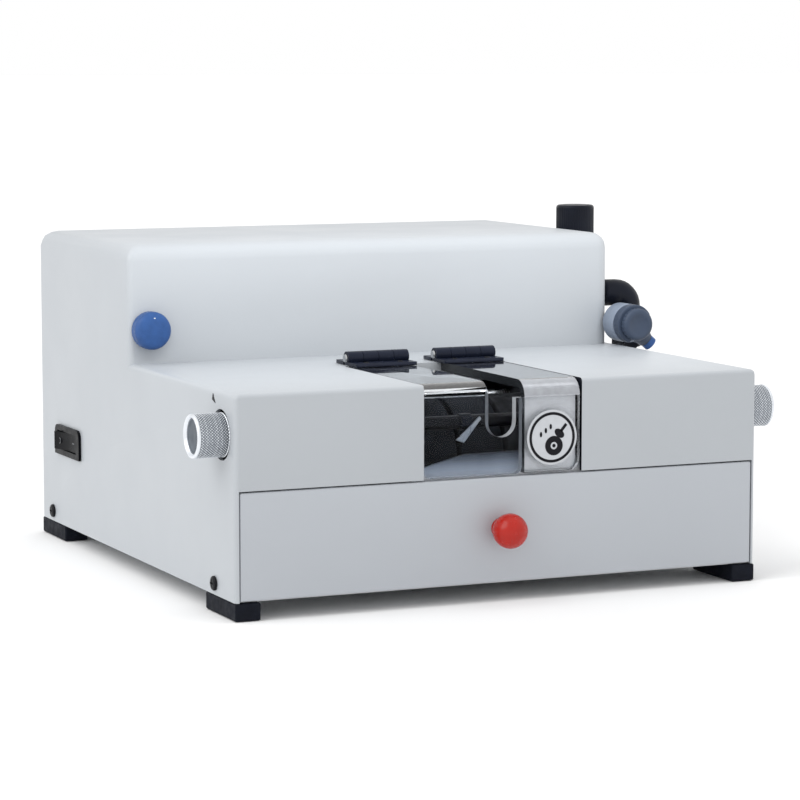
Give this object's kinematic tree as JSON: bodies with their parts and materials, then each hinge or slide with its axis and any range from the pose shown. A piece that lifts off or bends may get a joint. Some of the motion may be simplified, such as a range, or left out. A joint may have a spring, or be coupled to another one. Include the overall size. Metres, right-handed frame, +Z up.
{
  "type": "bench cabbing machine",
  "caption": "White enclosed bench machine for grinding and polishing stones: wheels in a recess under hinged clear guards, tilting work rest, slurry drawer, raised motor housing.",
  "frame": {"origin": "centre of the bounding box, on the surface the feet stand on", "axes": "+Z up, +X to the operator's right, -Y towards the operator"},
  "size_m": [0.3894, 0.3904, 0.2175],
  "materials": {
    "white_paint": "satin powder coat, very fine orange peel",
    "white_plate": "glossy white sheet behind the clear guard",
    "label": "printed round pictogram, black ring",
    "zinc_sheet": "zinc-plated sheet",
    "dark_liner": "dark splash-proof coating",
    "tray_plastic": "grey moulded tray",
    "red_plastic": "glossy phenolic ball",
    "clear_acrylic": "clear polished acrylic",
    "bright_steel": "ground bright steel",
    "black_rubber": "matte black rubber",
    "blue_plastic": "satin blue moulding",
    "brass": "machined brass",
    "motor_enamel": "dark motor enamel",
    "aluminium": "turned aluminium",
    "knurled_aluminium": "diamond-knurled anodised aluminium",
    "resin_abrasive": "gritty resin-bonded abrasive",
    "black_plastic": "fine-textured black moulding",
    "black_hinge": "black moulded and painted hinge",
    "black_screw": "black oxide pan-head screw",
    "frosted_bottle": "translucent white polythene",
    "grey_plastic": "light grey moulding",
    "slate_plastic": "slate grey moulding"
  },
  "bodies": {
    "casing": {"back_panel": "white_paint", "base_plate": "zinc_sheet", "bearing_block_left": "aluminium", "bearing_block_right": "aluminium", "bearing_left": "bright_steel", "bearing_right": "bright_steel", "cover_screw_front_left": "black_screw", "cover_screw_front_right": "black_screw", "cover_screw_rear_left": "black_screw", "cover_screw_rear_right": "black_screw", "drip_manifold": "bright_steel", "drive_belt": "black_rubber", "flow_valve": "brass", "foot_front_left": "black_rubber", "foot_front_right": "black_rubber", "foot_rear_left": "black_rubber", "foot_rear_right": "black_rubber", "hinge_fixed_leaf_left": "black_hinge", "hinge_fixed_leaf_right": "black_hinge", "hinge_pin_left": "bright_steel", "hinge_pin_right": "bright_steel", "inlet_elbow": "black_plastic", "main_cover": "white_paint", "motor": "motor_enamel", "motor_cradle": "zinc_sheet", "power_inlet": "black_plastic", "regulator_body": "grey_plastic", "reservoir_bottle": "frosted_bottle", "reservoir_clip_lower": "bright_steel", "reservoir_clip_upper": "bright_steel", "splash_liner": "dark_liner", "supply_collet": "blue_plastic", "switch_housing": "black_plastic"},
    "drawer": {"drawer_front": "white_paint", "drawer_tray": "tray_plastic", "drawer_knob": "red_plastic"},
    "left_guard": {"guard_left": "clear_acrylic", "hinge_moving_leaf_left": "black_hinge"},
    "right_guard": {"guard_right": "clear_acrylic", "guard_backing_plate": "white_plate", "guard_label": "label", "hinge_moving_leaf_right": "black_hinge"},
    "wheel_spindle": {"spindle": "bright_steel", "grinding_wheel_coarse": "resin_abrasive", "grinding_wheel_medium": "resin_abrasive", "grinding_wheel_fine": "resin_abrasive", "wheel_spacer_1": "aluminium", "wheel_spacer_2": "aluminium", "spindle_nut": "bright_steel", "spindle_pulley": "aluminium"},
    "motor_rotor": {"motor_shaft": "bright_steel", "motor_pulley": "aluminium"},
    "work_rest": {"rest_bar": "bright_steel", "rest_finger": "aluminium", "rest_knob_left": "knurled_aluminium", "rest_knob_right": "knurled_aluminium"},
    "power_rocker": {"switch_rocker": "black_plastic"},
    "water_knob": {"flow_knob": "blue_plastic"},
    "pressure_knob": {"regulator_knob": "slate_plastic"},
    "bottle_cap": {"reservoir_cap": "black_plastic"}
  },
  "joints": [
    {"name": "drawer_slide", "type": "slide", "parent": "casing", "child": "drawer", "axis": [0, -1, 0], "range_m": [0, 0.16]},
    {"name": "left_guard_hinge", "type": "hinge", "parent": "casing", "child": "left_guard", "pos_m": [-0.03495, -0.04965, 0.1345], "axis": [-1, 0, 0], "range_deg": [0, 105]},
    {"name": "right_guard_hinge", "type": "hinge", "parent": "casing", "child": "right_guard", "pos_m": [0.02415, -0.04965, 0.1345], "axis": [-1, 0, 0], "range_deg": [0, 105]},
    {"name": "spindle_spin", "type": "hinge", "parent": "casing", "child": "wheel_spindle", "pos_m": [-0.00615, -0.10965, 0.0805], "axis": [1, 0, 0], "continuous": true},
    {"name": "motor_spin", "type": "hinge", "parent": "casing", "child": "motor_rotor", "pos_m": [0.07285, 0.09635, 0.1065], "axis": [1, 0, 0], "continuous": true},
    {"name": "rest_tilt", "type": "hinge", "parent": "casing", "child": "work_rest", "pos_m": [-0.00615, -0.15015, 0.1049], "axis": [1, 0, 0], "range_deg": [-25, 5]},
    {"name": "power_rock", "type": "hinge", "parent": "casing", "child": "power_rocker", "pos_m": [-0.17215, 0.13085, 0.0677], "axis": [0, 0, -1], "range_deg": [0, 14]},
    {"name": "water_knob_turn", "type": "hinge", "parent": "casing", "child": "water_knob", "pos_m": [-0.16265, 0.01035, 0.151], "axis": [0, -1, 0], "range_deg": [0, 270]},
    {"name": "pressure_knob_turn", "type": "hinge", "parent": "casing", "child": "pressure_knob", "pos_m": [0.16585, -0.01395, 0.1445], "axis": [0, -1, 0], "range_deg": [0, 270]},
    {"name": "cap_lift", "type": "slide", "parent": "casing", "child": "bottle_cap", "axis": [0, 0, 1], "range_m": [0, 0.03]}
  ],
  "couplings": [
    {"joint": "motor_spin", "follows": "spindle_spin", "ratio": 0.80237}
  ]
}
